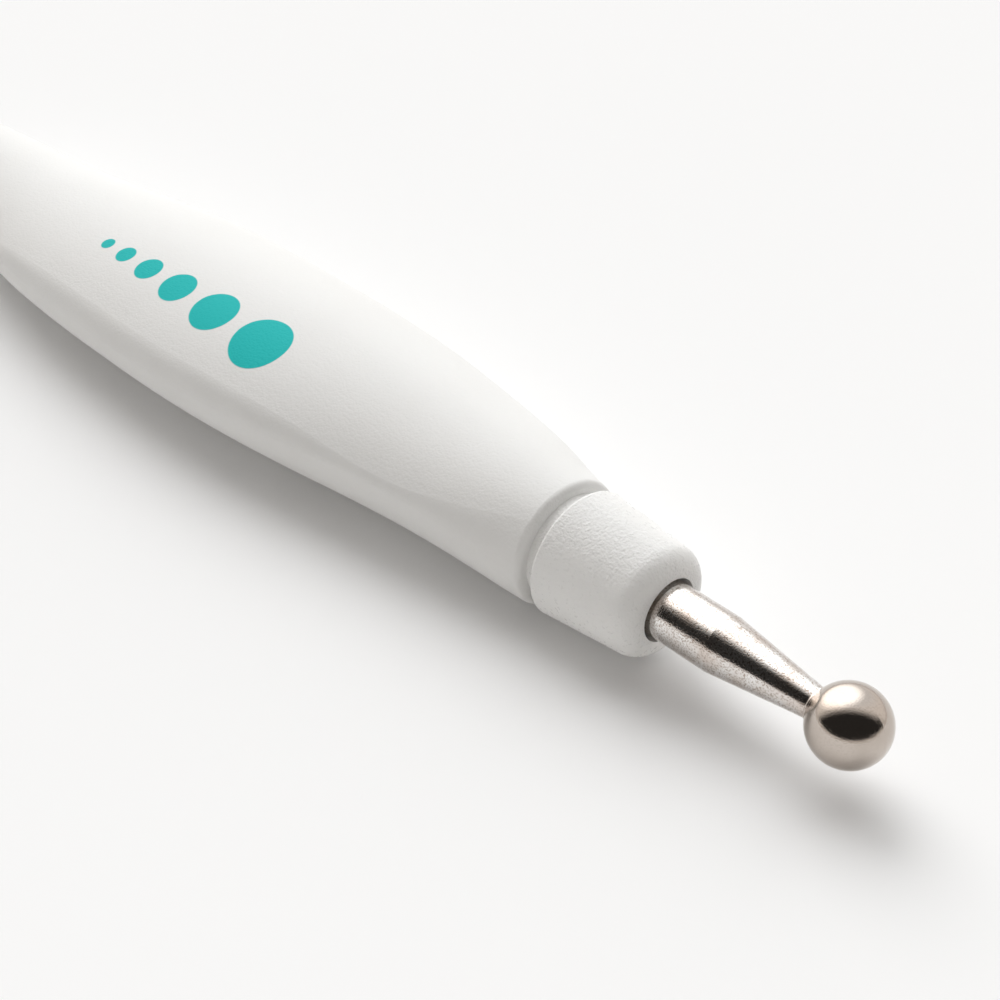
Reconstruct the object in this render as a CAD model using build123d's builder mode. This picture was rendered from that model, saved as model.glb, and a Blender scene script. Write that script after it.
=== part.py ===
"""Double-ended embossing stylus: a moulded grip with a ball-tipped steel stem at each end.

All sizes are in millimetres. X runs along the tool towards the larger ball, Z is up, and
the origin lies on the grip's resting flat, under the middle of the tool.
"""

import os
from math import cos, radians, sin, sqrt

from build123d import *

os.makedirs("parts", exist_ok=True)

# Grip: crown and belly are measured from the tool's axis. Seen from above, the grip sways
# towards Y in its front half and the other way in its rear half.
grip_length = 72.4
grip_half_width = 8.65
crown_height = 4.95
belly_depth = 4.8
rest_depth = 4.4
edge_rise = 1.2
grip_sway = 0.72
nose_radius = 4.35
nose_rounding = 0.45
core_radius = 2.6
core_web = 6.0

# Collar: a tapered sleeve whose ribbed spigot is pushed into the end of the grip.
groove_width = 1.0
collar_length = 7.5
collar_rim_radius = 4.35
collar_face_radius = 3.65
collar_rounding = 1.4
collar_rim_rounding = 0.2
shoulder_radius = 3.6
spigot_radius = 3.05
spigot_length = 9.0
spigot_lead = 0.4
spigot_rib_height = 0.12
spigot_rib_radius = 0.35
spigot_rib_count = 6
socket_end_gap = 0.4
bore_rib_radius = 0.25
bore_rib_setback = 1.1
bore_rib_count = 4

# Stem: a turned steel pin, ringed where the collar grips it, that tapers to a slim neck.
shank_radius = 1.9
tail_setback = 0.5
tail_chamfer = 0.4
ring_count = 4
ring_pitch = 1.5
ring_width = 0.6
ring_depth = 0.25

# Tips: a ball brazed on each neck. The taper starts where the shank leaves the collar.
tip_reach = 15.8
shank_straight = 4.2
front_ball_radius = 2.5
front_neck_radius = 1.0
rear_ball_radius = 1.5
rear_neck_radius = 0.65
seat_margin = 0.12
tenon_length_share = 0.5
tenon_radius_share = 0.6
tenon_clearance = 0.03

# Places along the axis and radii that several pieces share.
grip_end = grip_length / 2
spigot_end = grip_end - spigot_length
rim_x = grip_end + groove_width
face_x = rim_x + collar_length
tip_end = face_x + tip_reach
tail_end = spigot_end + tail_setback
socket_radius = spigot_radius + spigot_rib_height
bore_radius = shank_radius + bore_rib_radius

axis_point = (0, 0, rest_depth)
tool_axis = Axis(axis_point, (1, 0, 0))
profile_plane = Plane(axis_point, x_dir=(1, 0, 0), z_dir=(0, -1, 0))

# Each station: its place as a share of the half length, how far the width, the crown and
# the belly have grown from the round nose to their full size, how far the side edges
# stand up and the section stands off to the side, and the angles at which the side arcs
# meet the crown and the belly.
grip_station_shares = [
    (0.0, 1.0, 1.0, 1.0, 0.79, 0.0, 58, 48),
    (0.125, 0.98, 0.97, 1.0, 0.80, 0.12, 58, 48),
    (0.25, 0.93, 0.85, 0.97, 0.82, 0.35, 58, 48),
    (0.375, 0.84, 0.63, 0.90, 0.85, 0.62, 57, 48),
    (0.50, 0.715, 0.40, 0.78, 0.92, 0.90, 53, 48),
    (0.625, 0.565, 0.19, 0.60, 1.0, 1.0, 47, 47),
    (0.75, 0.405, 0.07, 0.36, 0.91, 0.88, 44, 47),
    (0.875, 0.22, 0.02, 0.14, 0.46, 0.51, 46, 47),
    (1.0, 0.01, 0.0, 0.0, 0.02, 0.0, 50, 42),
]


def section_plane(x, across=0):
    """Plane across the tool at x, with Y across and Z up, on the axis or beside it."""
    return Plane((x, across, rest_depth), x_dir=(0, 1, 0), z_dir=(1, 0, 0))


def oval_half(half_width, height, turn, edge_height, side):
    """Three tangent arcs from one side edge over the crown (side 1) or the belly (side -1)."""
    offset = (half_width - height) / (sin(radians(turn)) + cos(radians(turn)) - 1)
    across = offset * cos(radians(turn))
    small_radius = half_width - across
    large_radius = height + offset * sin(radians(turn))
    large_centre = (0, edge_height - side * offset * sin(radians(turn)))
    CenterArc((across, edge_height), small_radius, 0, side * turn)
    CenterArc(large_centre, large_radius, side * turn, side * (180 - 2 * turn))
    CenterArc((-across, edge_height), small_radius, side * (180 - turn), side * turn)


def grip_section(x, across, half_width, crown, belly, edge_height, crown_turn, belly_turn):
    """Face across the grip, made of six tangent arcs."""
    with BuildSketch(section_plane(x, across)) as section:
        with BuildLine():
            oval_half(half_width, crown - edge_height, crown_turn, edge_height, 1)
            oval_half(half_width, belly + edge_height, belly_turn, edge_height, -1)
        make_face()
    return section.sketch


def grown(share, full_size):
    """Size that has grown by a share of the way from the nose radius to its full size."""
    return nose_radius + share * (full_size - nose_radius)


def grip_sections():
    """Faces from the rear nose to the front nose; the two halves sway to opposite sides."""
    front_half = []
    for place, width, crown, belly, edge, sway, crown_turn, belly_turn in grip_station_shares:
        sizes = (grown(width, grip_half_width), grown(crown, crown_height), grown(belly, belly_depth))
        station = (place * grip_end, sway * grip_sway, *sizes, edge * edge_rise)
        front_half.append((*station, crown_turn, belly_turn))
    rear_half = [(-x, -across, *sizes) for x, across, *sizes in reversed(front_half[1:])]
    return [grip_section(*station) for station in rear_half + front_half]


def front_stem_shape(ball_radius, neck_radius):
    """Pin that points along +X and carries a ball of the given radius."""
    centre = tip_end - ball_radius
    seat = centre - sqrt(ball_radius**2 - (neck_radius + seat_margin) ** 2)
    tenon_end = seat + ball_radius * tenon_length_share
    tenon_radius = neck_radius * tenon_radius_share
    with BuildPart() as stem:
        with BuildSketch(profile_plane):
            with BuildLine():
                Polyline(
                    (tail_end, 0),
                    (tail_end, shank_radius),
                    (face_x + shank_straight, shank_radius),
                    (seat, neck_radius),
                    (seat, tenon_radius),
                    (tenon_end, tenon_radius),
                    (tenon_end, 0),
                    close=True,
                )
            make_face()
            with Locations((spigot_end + ring_count * ring_pitch, shank_radius)):
                with GridLocations(ring_pitch, 0, ring_count, 1):
                    Rectangle(ring_width, 2 * ring_depth, mode=Mode.SUBTRACT)
        revolve(axis=tool_axis)
        chamfer(stem.edges().sort_by(Axis.X)[0], tail_chamfer)
    return stem.part


def front_ball_shape(ball_radius, neck_radius):
    """Ball with a flat and a blind hole for the neck that meets it from behind."""
    centre = tip_end - ball_radius
    seat = centre - sqrt(ball_radius**2 - (neck_radius + seat_margin) ** 2)
    hole_depth = ball_radius * tenon_length_share + tenon_clearance
    with BuildPart() as ball:
        with Locations((centre, 0, rest_depth)):
            Sphere(ball_radius)
        split(bisect_by=section_plane(seat), keep=Keep.TOP)
        with BuildSketch(section_plane(seat)):
            Circle(neck_radius * tenon_radius_share + tenon_clearance)
        extrude(amount=hole_depth, mode=Mode.SUBTRACT)
    return ball.part


# Grip: one moulding, cored from both ends, that lies on a narrow flat.
with BuildPart() as grip:
    loft(grip_sections())
    split(bisect_by=Plane.XY, keep=Keep.TOP)
    fillet(grip.faces().sort_by(Axis.X)[-1].outer_wire().edges(), nose_rounding)
    fillet(grip.faces().sort_by(Axis.X)[0].outer_wire().edges(), nose_rounding)
    for side in (1, -1):
        socket_depth = spigot_length + socket_end_gap
        core_depth = grip_end - core_web / 2
        with BuildSketch(section_plane(side * grip_end)):
            Circle(socket_radius)
        extrude(amount=-side * socket_depth, mode=Mode.SUBTRACT)
        with BuildSketch(section_plane(side * grip_end)):
            Circle(core_radius)
        extrude(amount=-side * core_depth, mode=Mode.SUBTRACT)
grip.part.label = "grip"
export_step(grip.part, "parts/grip.step")

# Front collar: sleeve, groove floor and spigot in one piece, with half-round crush ribs.
with BuildPart() as front_collar:
    with BuildSketch(profile_plane):
        with BuildLine():
            Polyline(
                (spigot_end, 0),
                (spigot_end, spigot_radius),
                (grip_end, spigot_radius),
                (grip_end, shoulder_radius),
                (rim_x, shoulder_radius),
                (rim_x, collar_rim_radius),
                (face_x, collar_face_radius),
                (face_x, 0),
                close=True,
            )
        make_face()
    revolve(axis=tool_axis)
    fillet(front_collar.edges().sort_by(Axis.X)[-1], collar_rounding)
    chamfer(front_collar.edges().sort_by(Axis.X)[0], spigot_lead)
    rim = front_collar.edges().filter_by(GeomType.CIRCLE).sort_by(SortBy.RADIUS)[-1]
    fillet(rim, collar_rim_rounding)
    with BuildSketch(section_plane(face_x)):
        Circle(bore_radius)
    extrude(amount=-(collar_length + groove_width + spigot_length), mode=Mode.SUBTRACT)
    with BuildSketch(section_plane(face_x - bore_rib_setback)):
        with PolarLocations(bore_radius, bore_rib_count):
            Circle(bore_rib_radius)
    extrude(amount=-(face_x - bore_rib_setback - spigot_end))
    with BuildSketch(section_plane(grip_end)):
        with PolarLocations(socket_radius - spigot_rib_radius, spigot_rib_count):
            Circle(spigot_rib_radius)
    extrude(amount=-(spigot_length - spigot_lead))
front_collar.part.label = "front_collar"
export_step(front_collar.part, "parts/front_collar.step")

# Rear collar: the same moulding turned the other way.
with BuildPart() as rear_collar:
    mirror(front_collar.part, about=Plane.YZ)
rear_collar.part.label = "rear_collar"
export_step(rear_collar.part, "parts/rear_collar.step")

# Front stem and ball.
with BuildPart() as front_stem:
    add(front_stem_shape(front_ball_radius, front_neck_radius))
front_stem.part.label = "front_stem"
export_step(front_stem.part, "parts/front_stem.step")

with BuildPart() as front_ball:
    add(front_ball_shape(front_ball_radius, front_neck_radius))
front_ball.part.label = "front_ball"
export_step(front_ball.part, "parts/front_ball.step")

# Rear stem and ball, slimmer and pointing the other way.
with BuildPart() as rear_stem:
    mirror(front_stem_shape(rear_ball_radius, rear_neck_radius), about=Plane.YZ)
rear_stem.part.label = "rear_stem"
export_step(rear_stem.part, "parts/rear_stem.step")

with BuildPart() as rear_ball:
    mirror(front_ball_shape(rear_ball_radius, rear_neck_radius), about=Plane.YZ)
rear_ball.part.label = "rear_ball"
export_step(rear_ball.part, "parts/rear_ball.step")
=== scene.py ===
"""Dressing of a double-ended embossing stylus that lies on a pale table.

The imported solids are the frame, and each keeps its shape. This script gives them their
finishes, adds the braze beads behind the balls, and sets up the table, light and camera.
All lengths are in metres. X runs along the tool towards the larger ball, and Z is up.
"""

import logging
import math
from dataclasses import dataclass
from enum import Enum

import bpy
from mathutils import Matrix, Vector

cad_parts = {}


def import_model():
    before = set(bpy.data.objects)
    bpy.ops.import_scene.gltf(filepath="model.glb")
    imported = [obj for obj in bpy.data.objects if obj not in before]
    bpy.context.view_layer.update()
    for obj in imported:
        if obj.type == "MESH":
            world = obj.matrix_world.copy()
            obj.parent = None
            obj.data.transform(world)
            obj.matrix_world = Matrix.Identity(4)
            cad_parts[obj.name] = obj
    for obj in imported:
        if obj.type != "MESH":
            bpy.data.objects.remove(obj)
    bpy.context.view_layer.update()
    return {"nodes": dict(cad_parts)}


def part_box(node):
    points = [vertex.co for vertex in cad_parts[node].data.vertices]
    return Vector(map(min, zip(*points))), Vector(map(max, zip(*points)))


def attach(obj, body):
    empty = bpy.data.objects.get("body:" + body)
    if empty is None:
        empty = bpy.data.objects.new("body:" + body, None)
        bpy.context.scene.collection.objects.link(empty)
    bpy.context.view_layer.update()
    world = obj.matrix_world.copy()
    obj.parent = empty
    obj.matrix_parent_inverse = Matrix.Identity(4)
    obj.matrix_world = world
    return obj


LOG = logging.getLogger("stylus")
MM = 0.001

Color = tuple[float, float, float, float]
Triple = tuple[float, float, float]
Pair = tuple[float, float]


class Slot(Enum):
    """Material slots of the record that the added pieces take."""

    STEM = "stem_steel"


class End(Enum):
    """The two ends of the tool."""

    FRONT = "front"
    REAR = "rear"

    @property
    def prefix(self) -> str:
        """Start of the names of this end's pieces."""
        return self.value


class NodeBoard:
    """Adds nodes to one node tree and joins them.

    Blender's mix node takes numbers at inputs 2 and 3, and colours at inputs 6 and 7.
    """

    def __init__(self, tree: bpy.types.NodeTree) -> None:
        """Start with an empty tree.

        Args:
            tree: The tree to clear and fill.
        """
        self.tree = tree
        tree.nodes.clear()

    def add(self, kind: str, inputs: dict | None = None, **settings: object) -> bpy.types.Node:
        """Add a node, set its options and fill or join its inputs.

        Args:
            kind: Blender's name for the node type.
            inputs: For each input's name or index, a value or the socket that feeds it.
            settings: Options of the node.

        Returns:
            The new node.
        """
        node = self.tree.nodes.new(kind)
        for name, value in settings.items():
            setattr(node, name, value)
        for key, value in (inputs or {}).items():
            if isinstance(value, bpy.types.NodeSocket):
                self.tree.links.new(value, node.inputs[key])
            else:
                node.inputs[key].default_value = value
        return node

    def math(self, operation: str, *values: object) -> bpy.types.NodeSocket:
        """Add a math node.

        Args:
            operation: The math operation.
            values: Numbers or sockets, in order.

        Returns:
            The node's result.
        """
        node = self.add("ShaderNodeMath", dict(enumerate(values)), operation=operation)
        return node.outputs[0]

    def ramp(self, value: bpy.types.NodeSocket, start: float, end: float) -> bpy.types.NodeSocket:
        """Turn a value into a smooth 0 to 1 mask between two limits.

        Args:
            value: The socket to read.
            start: Where the mask is 0.
            end: Where the mask is 1.

        Returns:
            The mask.
        """
        inputs = {"Value": value, "From Min": start, "From Max": end}
        node = self.add("ShaderNodeMapRange", inputs, interpolation_type="SMOOTHSTEP")
        return node.outputs["Result"]

    def span(self, mask: bpy.types.NodeSocket, low: float, high: float) -> bpy.types.NodeSocket:
        """Stretch a 0 to 1 mask between two values.

        Args:
            mask: The mask.
            low: Value where the mask is 0.
            high: Value where the mask is 1.

        Returns:
            The stretched value.
        """
        node = self.add("ShaderNodeMapRange", {"Value": mask, "To Min": low, "To Max": high})
        return node.outputs["Result"]

    def mix(self, mask: object, low: object, high: object) -> bpy.types.NodeSocket:
        """Mix two values, each a number or the socket that gives it.

        Args:
            mask: Where the second value shows.
            low: Value where the mask is 0.
            high: Value where the mask is 1.

        Returns:
            The mixed value.
        """
        return self.add("ShaderNodeMix", {0: mask, 2: low, 3: high}).outputs[0]

    def blend(self, mask: object, low: object, high: object) -> bpy.types.NodeSocket:
        """Mix two colours, each a colour or the socket that gives it.

        Args:
            mask: Where the second colour shows.
            low: Colour where the mask is 0.
            high: Colour where the mask is 1.

        Returns:
            The mixed colour.
        """
        node = self.add("ShaderNodeMix", {0: mask, 6: low, 7: high}, data_type="RGBA")
        return node.outputs[2]

    def noise(
        self, vector: bpy.types.NodeSocket, scale: bpy.types.NodeSocket, detail: float
    ) -> bpy.types.Node:
        """Add a noise texture.

        Args:
            vector: Coordinates of the noise.
            scale: Lumps per metre.
            detail: How many finer layers are added.

        Returns:
            The texture node.
        """
        inputs = {"Vector": vector, "Scale": scale, "Detail": detail}
        return self.add("ShaderNodeTexNoise", inputs)


class EffectGroup:
    """A shader node group with named inputs and outputs, built once."""

    name: str = ""
    inputs: dict[str, float] = {}
    outputs: tuple[str, ...] = ()

    def tree(self) -> bpy.types.NodeTree:
        """Return the group's tree, and build it the first time.

        Returns:
            The shader node tree.
        """
        found = bpy.data.node_groups.get(self.name)
        if found:
            return found
        tree = bpy.data.node_groups.new(self.name, "ShaderNodeTree")
        tree.interface.new_socket("Vector", in_out="INPUT", socket_type="NodeSocketVector")
        for name, value in self.inputs.items():
            socket = tree.interface.new_socket(name, in_out="INPUT", socket_type="NodeSocketFloat")
            socket.default_value = value
        for name in self.outputs:
            tree.interface.new_socket(name, in_out="OUTPUT", socket_type="NodeSocketFloat")
        board = NodeBoard(tree)
        entry = board.add("NodeGroupInput")
        board.add("NodeGroupOutput", self.build(board, entry))
        return tree

    def build(self, board: NodeBoard, entry: bpy.types.Node) -> dict:
        """Build the group's inside.

        Args:
            board: The board to build on.
            entry: The group's input node.

        Returns:
            The socket for each output.
        """
        raise NotImplementedError

    def place(
        self, board: NodeBoard, vector: bpy.types.NodeSocket, **values: float
    ) -> bpy.types.Node:
        """Put the group into a material.

        Args:
            board: The material's board.
            vector: Coordinates for the effect.
            values: The group's inputs, with spaces as underscores.

        Returns:
            The group node.
        """
        node = board.add("ShaderNodeGroup", node_tree=self.tree())
        board.tree.links.new(vector, node.inputs["Vector"])
        for name, value in values.items():
            node.inputs[name.replace("_", " ")].default_value = value
        return node


class MouldGrain(EffectGroup):
    """Spark-eroded mould texture: rounded pits and grains, with slow cloudy changes."""

    name = "mould_grain"
    inputs = {"Grains per Metre": 4000.0, "Clouds per Metre": 120.0}
    outputs = ("Height", "Clouds", "Glints")
    grain_detail = 2.0
    grain_roughness = 0.55
    cells_per_grain = 1.7
    cell_smoothness = 0.6
    cell_share = 0.5
    cloud_detail = 3.0
    glint_edges = (0.56, 0.68)

    def build(self, board: NodeBoard, entry: bpy.types.Node) -> dict:
        """Build grains from fine noise and cells, and clouds from slow noise.

        Args:
            board: The board to build on.
            entry: The group's input node.

        Returns:
            The socket for each output.
        """
        vector, scale = entry.outputs["Vector"], entry.outputs["Grains per Metre"]
        grains = board.noise(vector, scale, self.grain_detail)
        grains.inputs["Roughness"].default_value = self.grain_roughness
        cells = board.add(
            "ShaderNodeTexVoronoi",
            {
                "Vector": vector,
                "Scale": board.math("MULTIPLY", scale, self.cells_per_grain),
                "Smoothness": self.cell_smoothness,
            },
            feature="SMOOTH_F1",
        )
        hollows = board.math("MULTIPLY", cells.outputs["Distance"], self.cell_share)
        clouds = board.noise(vector, entry.outputs["Clouds per Metre"], self.cloud_detail)
        return {
            "Height": board.math("SUBTRACT", grains.outputs[0], hollows),
            "Clouds": clouds.outputs[0],
            "Glints": board.ramp(grains.outputs[0], *self.glint_edges),
        }


class TurnedMetal(EffectGroup):
    """Turned and polished steel: fine rings round the X axis, pits and a patchy film."""

    name = "turned_metal"
    inputs = {"Rings per Metre": 9000.0, "Pits per Metre": 9000.0, "Patches per Metre": 600.0}
    outputs = ("Rings", "Pits", "Film")
    ring_stretch = (1.0, 0.04, 0.04)
    ring_detail = 2.0
    pit_detail = 3.0
    pit_edges = (0.32, 0.54)
    film_detail = 4.0
    film_edges = (0.35, 0.70)

    def build(self, board: NodeBoard, entry: bpy.types.Node) -> dict:
        """Build rings from noise that is stretched round the axis, and pits and film from noise.

        Args:
            board: The board to build on.
            entry: The group's input node.

        Returns:
            The socket for each output.
        """
        vector = entry.outputs["Vector"]
        stretched = board.add(
            "ShaderNodeVectorMath", {0: vector, 1: self.ring_stretch}, operation="MULTIPLY"
        ).outputs[0]
        rings = board.noise(stretched, entry.outputs["Rings per Metre"], self.ring_detail)
        pits = board.noise(vector, entry.outputs["Pits per Metre"], self.pit_detail)
        film = board.noise(vector, entry.outputs["Patches per Metre"], self.film_detail)
        return {
            "Rings": rings.outputs[0],
            "Pits": board.ramp(pits.outputs[0], *self.pit_edges),
            "Film": board.ramp(film.outputs[0], *self.film_edges),
        }


class DotRow(EffectGroup):
    """Printed row of dots that shrink along the grip, on its upper side only."""

    name = "dot_row"
    outputs = ("Ink",)
    dots_mm = ((9.6, 2.3), (4.2, 1.85), (-0.3, 1.45), (-4.0, 1.1), (-7.0, 0.8), (-9.4, 0.55))
    across_mm = -3.4
    soft_edge_mm = 0.05
    above_mm = 6.0

    def build(self, board: NodeBoard, entry: bpy.types.Node) -> dict:
        """Join one round mask for each dot, given by its place along X and its radius.

        Args:
            board: The board to build on.
            entry: The group's input node.

        Returns:
            The socket for each output.
        """
        parts = board.add("ShaderNodeSeparateXYZ", {0: entry.outputs["Vector"]})
        flat = board.add("ShaderNodeCombineXYZ", {0: parts.outputs[0], 1: parts.outputs[1]})
        ink: object = 0.0
        for along, radius in self.dots_mm:
            centre = (along * MM, self.across_mm * MM, 0.0)
            away = board.add(
                "ShaderNodeVectorMath", {0: flat.outputs[0], 1: centre}, operation="DISTANCE"
            )
            outer, inner = (radius + self.soft_edge_mm) * MM, (radius - self.soft_edge_mm) * MM
            dot = board.ramp(away.outputs["Value"], outer, inner)
            ink = board.math("MAXIMUM", ink, dot)
        upper = board.math("GREATER_THAN", parts.outputs[2], self.above_mm * MM)
        return {"Ink": board.math("MULTIPLY", ink, upper)}


@dataclass(frozen=True)
class MouldedPlastic:
    """White moulded plastic with a fine mould texture, printed where it has an ink."""

    name: str
    color: Color = (0.85, 0.85, 0.84, 1.0)
    shade: Color = (0.82, 0.815, 0.80, 1.0)
    roughness: Pair = (0.22, 0.48)
    grains_per_metre: float = 3800.0
    grain_depth: float = 0.05 * MM
    ink_color: Color | None = None
    ink_depth: float = 0.01 * MM
    ink_roughness: float = 0.75

    def build(self) -> bpy.types.Material:
        """Make the material.

        Returns:
            The finished material.
        """
        material = bpy.data.materials.new(self.name)
        material.use_nodes = True
        board = NodeBoard(material.node_tree)
        place = board.add("ShaderNodeTexCoord").outputs["Object"]
        grain = MouldGrain().place(board, place, Grains_per_Metre=self.grains_per_metre)
        color = board.blend(grain.outputs["Clouds"], self.shade, self.color)
        low, high = self.roughness
        rough = board.span(grain.outputs["Glints"], high, low)
        bump = board.add(
            "ShaderNodeBump", {"Height": grain.outputs["Height"], "Distance": self.grain_depth}
        )
        if self.ink_color:
            ink = DotRow().place(board, place).outputs["Ink"]
            color = board.blend(ink, color, self.ink_color)
            rough = board.mix(ink, rough, self.ink_roughness)
            bump = board.add(
                "ShaderNodeBump",
                {"Height": ink, "Distance": self.ink_depth, "Normal": bump.outputs[0]},
            )
        shader = board.add(
            "ShaderNodeBsdfPrincipled",
            {"Base Color": color, "Roughness": rough, "Normal": bump.outputs[0]},
        )
        board.add("ShaderNodeOutputMaterial", {"Surface": shader.outputs[0]})
        return material


@dataclass(frozen=True)
class PolishedSteel:
    """Bare steel with turning rings, dark pits and a warm film."""

    name: str
    color: Color = (0.80, 0.78, 0.76, 1.0)
    film_color: Color = (0.64, 0.57, 0.52, 1.0)
    pit_color: Color = (0.42, 0.35, 0.30, 1.0)
    roughness: Pair = (0.07, 0.14)
    ring_depth: float = 0.001 * MM
    pit_depth: float = 0.003 * MM

    def build(self) -> bpy.types.Material:
        """Make the material.

        Returns:
            The finished material.
        """
        material = bpy.data.materials.new(self.name)
        material.use_nodes = True
        board = NodeBoard(material.node_tree)
        place = board.add("ShaderNodeTexCoord").outputs["Object"]
        metal = TurnedMetal().place(board, place)
        bare = board.blend(metal.outputs["Film"], self.color, self.film_color)
        color = board.blend(metal.outputs["Pits"], self.pit_color, bare)
        rough = board.span(metal.outputs["Film"], *self.roughness)
        rings = board.add(
            "ShaderNodeBump", {"Height": metal.outputs["Rings"], "Distance": self.ring_depth}
        )
        pits = board.add(
            "ShaderNodeBump",
            {
                "Height": metal.outputs["Pits"],
                "Distance": self.pit_depth,
                "Normal": rings.outputs[0],
            },
        )
        shader = board.add(
            "ShaderNodeBsdfPrincipled",
            {"Base Color": color, "Roughness": rough, "Normal": pits.outputs[0], "Metallic": 1.0},
        )
        board.add("ShaderNodeOutputMaterial", {"Surface": shader.outputs[0]})
        return material


# The grip's colour and mottle are set darker than the collars' white plastic: painted shade that
# stands in for the dimmer light on the middle and rear of the grip.
SHADED_GRIP_FINISH = MouldedPlastic(
    "white_grip_plastic_painted_shade",
    color=(0.80, 0.80, 0.79, 1.0),
    shade=(0.77, 0.765, 0.75, 1.0),
    roughness=(0.38, 0.52),
    grain_depth=0.022 * MM,
    ink_color=(0.0, 0.50, 0.49, 1.0),
)
COLLAR_FINISH = MouldedPlastic("white_collar_plastic")
STEM_FINISH = PolishedSteel("stem_steel")
BALL_FINISH = PolishedSteel(
    "ball_steel",
    color=(0.55, 0.49, 0.44, 1.0),
    film_color=(0.49, 0.43, 0.38, 1.0),
    pit_color=(0.51, 0.45, 0.40, 1.0),
    roughness=(0.07, 0.13),
    ring_depth=0.0,
    pit_depth=0.0015 * MM,
)


def dress(piece: bpy.types.Object, material: bpy.types.Material) -> None:
    """Give a piece one material all over.

    Args:
        piece: The mesh object.
        material: Its finish.
    """
    piece.data.materials.clear()
    piece.data.materials.append(material)
    LOG.info("%s: %s, %d faces", piece.name, material.name, len(piece.data.polygons))


def deselect_all() -> None:
    """Leave nothing selected, so that the next operator acts on its own piece only."""
    bpy.ops.object.select_all(action="DESELECT")


@dataclass
class Handle:
    """The grip and the collar at each of its ends."""

    grip_finish: MouldedPlastic = SHADED_GRIP_FINISH
    collar_finish: MouldedPlastic = COLLAR_FINISH

    def build(self, nodes: dict[str, bpy.types.Object]) -> None:
        """Dress the grip and the collars.

        Args:
            nodes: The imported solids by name.
        """
        dress(nodes["grip"], self.grip_finish.build())
        collar = self.collar_finish.build()
        for end in End:
            dress(nodes[f"{end.prefix}_collar"], collar)


@dataclass
class Tip:
    """A steel stem and its ball, with the bead of braze between them."""

    end: End
    neck_radius: float
    bead_radius: float
    bead_steps: int = 64
    bead_round_steps: int = 16

    def bead(self, ball: tuple[Vector, Vector]) -> bpy.types.Object:
        """Model the bead round the neck, just behind the ball.

        Args:
            ball: The ball's lowest and highest corners.

        Returns:
            The bead.
        """
        low, high = ball
        seat = low.x if self.end is End.FRONT else high.x
        deselect_all()
        bpy.ops.mesh.primitive_torus_add(
            major_segments=self.bead_steps,
            minor_segments=self.bead_round_steps,
            major_radius=self.neck_radius,
            minor_radius=self.bead_radius,
            location=(seat, 0.0, (low.z + high.z) / 2),
            rotation=(0.0, math.pi / 2, 0.0),
        )
        piece = bpy.context.object
        piece.name = f"{self.end.prefix}_braze_bead"
        bpy.ops.object.transform_apply(location=True, rotation=True, scale=True)
        bpy.ops.object.shade_smooth()
        return piece

    def build(
        self, nodes: dict[str, bpy.types.Object], stem: bpy.types.Material, ball: bpy.types.Material
    ) -> None:
        """Dress the stem and ball and add the bead.

        Args:
            nodes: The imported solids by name.
            stem: Finish of the stem and bead.
            ball: Finish of the ball.
        """
        dress(nodes[f"{self.end.prefix}_stem"], stem)
        dress(nodes[f"{self.end.prefix}_ball"], ball)
        bead = self.bead(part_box(f"{self.end.prefix}_ball"))
        dress(bead, stem)
        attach(bead, "root")


@dataclass(frozen=True)
class GlowPatch:
    """Soft-edged round bright patch of the surroundings.

    The edges are cosines of the angle from its middle: where it starts, and where it is full.
    """

    direction: Triple
    edges: Pair
    strength: float

    def mask(self, board: NodeBoard, looked: bpy.types.NodeSocket) -> bpy.types.NodeSocket:
        """Mask the patch in a world.

        Args:
            board: The world's board.
            looked: The socket of the direction looked in.

        Returns:
            The mask.
        """
        towards = board.add(
            "ShaderNodeVectorMath",
            {0: looked, 1: tuple(Vector(self.direction).normalized())},
            operation="DOT_PRODUCT",
        )
        return board.ramp(towards.outputs["Value"], *self.edges)


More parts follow.
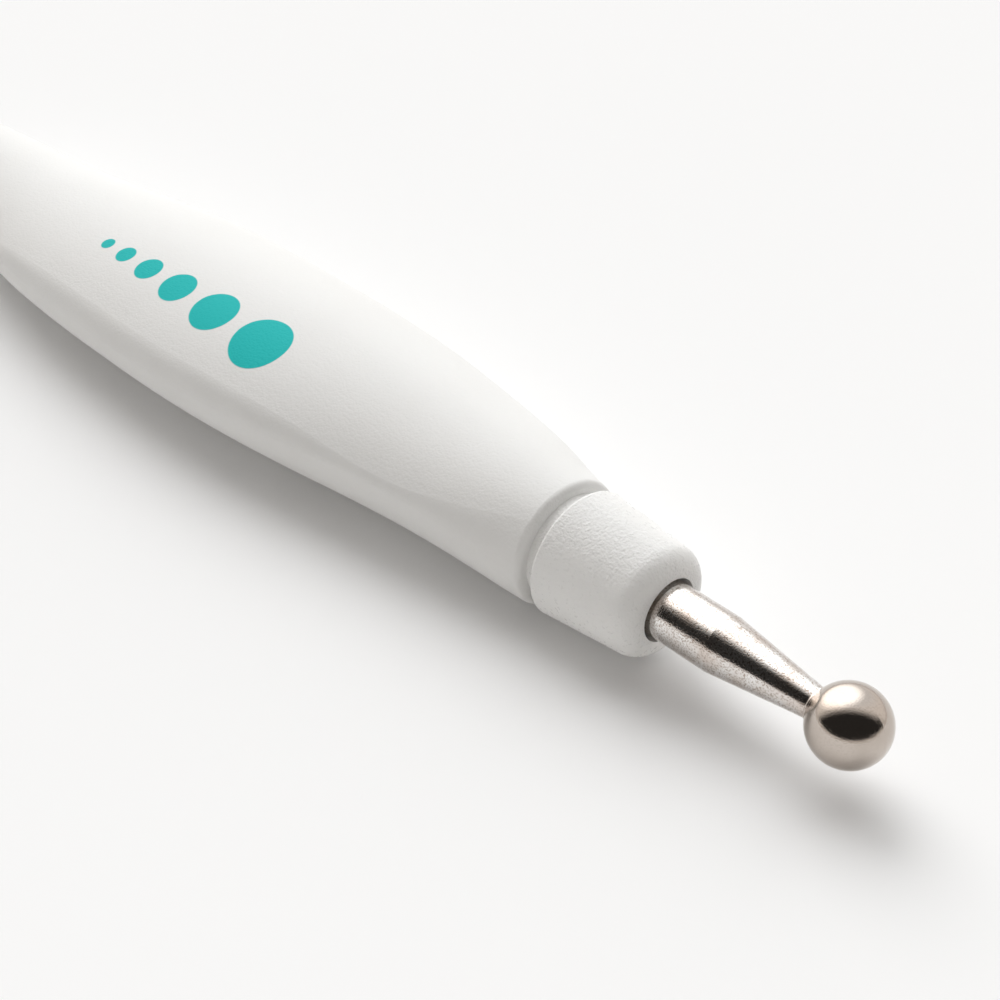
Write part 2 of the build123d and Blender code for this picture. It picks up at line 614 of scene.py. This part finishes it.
@dataclass
class Studio:
    """Pale table, soft light from behind and the left, and the camera."""

    floor_size: float = 8.0
    floor_color: Color = (0.90, 0.90, 0.90, 1.0)
    floor_lift: float = 0.06
    window: GlowPatch = GlowPatch((-0.42, 0.52, 0.74), (0.56, 0.95), 1.9)
    window_color: Color = (0.985, 0.995, 1.0, 1.0)
    room_strength: float = 0.18
    room_color: Color = (1.0, 0.95, 0.90, 1.0)
    horizon_strength: float = 2.4
    horizon_edges: Pair = (0.08, 0.13)
    mirror_window: GlowPatch = GlowPatch((-0.60, 0.75, 0.28), (-0.08, 0.36), 0.95)
    mirror_shine: GlowPatch = GlowPatch((-0.66, 0.30, 0.69), (0.68, 0.92), 1.6)
    mirror_room_strength: float = 0.03
    mirror_horizon_strength: float = 0.75
    lamp_direction: Triple = (-0.70, 0.27, 0.66)
    lamp_strength: float = 1.2
    lamp_angle: float = 44.0
    camera_place: Triple = (93.81 * MM, -59.93 * MM, 70.27 * MM)
    camera_azimuth: float = 46.78
    camera_elevation: float = 36.90
    camera_lens: float = 61.2
    camera_sensor_width: float = 36.0
    camera_clip: Pair = (0.001, 100.0)

    def floor(self) -> None:
        """Lay the table top, which looks white to the camera and keeps the shadow."""
        deselect_all()
        bpy.ops.mesh.primitive_plane_add(size=self.floor_size)
        plane = bpy.context.object
        plane.name = "table"
        material = bpy.data.materials.new("table_white")
        material.use_nodes = True
        board = NodeBoard(material.node_tree)
        matt = board.add("ShaderNodeBsdfDiffuse", {"Color": self.floor_color})
        path = board.add("ShaderNodeLightPath")
        seen = board.math("MAXIMUM", path.outputs["Is Camera Ray"], path.outputs["Is Glossy Ray"])
        seen = board.math("MAXIMUM", seen, path.outputs["Is Transmission Ray"])
        lift = board.add(
            "ShaderNodeEmission", {"Strength": board.math("MULTIPLY", seen, self.floor_lift)}
        )
        both = board.add("ShaderNodeAddShader", {0: matt.outputs[0], 1: lift.outputs[0]})
        board.add("ShaderNodeOutputMaterial", {"Surface": both.outputs[0]})
        plane.data.materials.append(material)

    def sky(self) -> None:
        """Surround the table with a bright window side, a dim room side and a pale horizon.

        Reflections see a darker room than the light comes from, so that the steel shows the
        dark side of the room next to its bright one.
        """
        world = bpy.data.worlds.new("studio_world")
        bpy.context.scene.world = world
        world.use_nodes = True
        board = NodeBoard(world.node_tree)
        looked = board.add("ShaderNodeTexCoord").outputs["Generated"]
        glossy = board.add("ShaderNodeLightPath").outputs["Is Glossy Ray"]
        window = self.window.mask(board, looked)
        light = board.span(window, self.room_strength, self.window.strength)
        mirrored = board.span(
            self.mirror_window.mask(board, looked),
            self.mirror_room_strength,
            self.mirror_window.strength,
        )
        shine = board.span(self.mirror_shine.mask(board, looked), 0.0, self.mirror_shine.strength)
        high = board.mix(glossy, light, board.math("ADD", mirrored, shine))
        low = board.span(glossy, self.horizon_strength, self.mirror_horizon_strength)
        height = board.add("ShaderNodeSeparateXYZ", {0: looked}).outputs[2]
        strength = board.mix(board.ramp(height, *self.horizon_edges), low, high)
        color = board.blend(window, self.room_color, self.window_color)
        shade = board.add("ShaderNodeBackground", {"Color": color, "Strength": strength})
        board.add("ShaderNodeOutputWorld", {"Surface": shade.outputs[0]})

    def lamp(self) -> None:
        """Hang one broad lamp behind the tool, which reflections don't show."""
        data = bpy.data.lights.new("broad_lamp", "SUN")
        data.energy = self.lamp_strength
        data.angle = math.radians(self.lamp_angle)
        lamp = bpy.data.objects.new("broad_lamp", data)
        bpy.context.scene.collection.objects.link(lamp)
        lamp.rotation_mode = "QUATERNION"
        lamp.rotation_quaternion = Vector(self.lamp_direction).to_track_quat("Z", "Y")
        lamp.visible_glossy = False

    def camera(self) -> None:
        """Set the camera at the photograph's viewing angle, level."""
        data = bpy.data.cameras.new("camera")
        data.lens = self.camera_lens
        data.sensor_width = self.camera_sensor_width
        data.clip_start, data.clip_end = self.camera_clip
        camera = bpy.data.objects.new("camera", data)
        bpy.context.scene.collection.objects.link(camera)
        camera.location = self.camera_place
        camera.rotation_euler = (
            math.radians(90.0 - self.camera_elevation),
            0.0,
            math.radians(self.camera_azimuth),
        )
        bpy.context.scene.camera = camera

    def build(self) -> None:
        """Set up the table, light and camera."""
        self.floor()
        self.sky()
        self.lamp()
        self.camera()
        bpy.context.scene.view_settings.view_transform = "Standard"


def main() -> None:
    """Build the dressed stylus and its studio."""
    logging.basicConfig(level=logging.INFO, format="%(name)s %(message)s")
    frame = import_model()
    nodes = frame["nodes"]
    Handle().build(nodes)
    stem, ball = STEM_FINISH.build(), BALL_FINISH.build()
    Tip(End.FRONT, neck_radius=1.0 * MM, bead_radius=0.16 * MM).build(nodes, stem, ball)
    Tip(End.REAR, neck_radius=0.65 * MM, bead_radius=0.12 * MM).build(nodes, stem, ball)
    Studio().build()


if __name__ == "__main__":
    main()
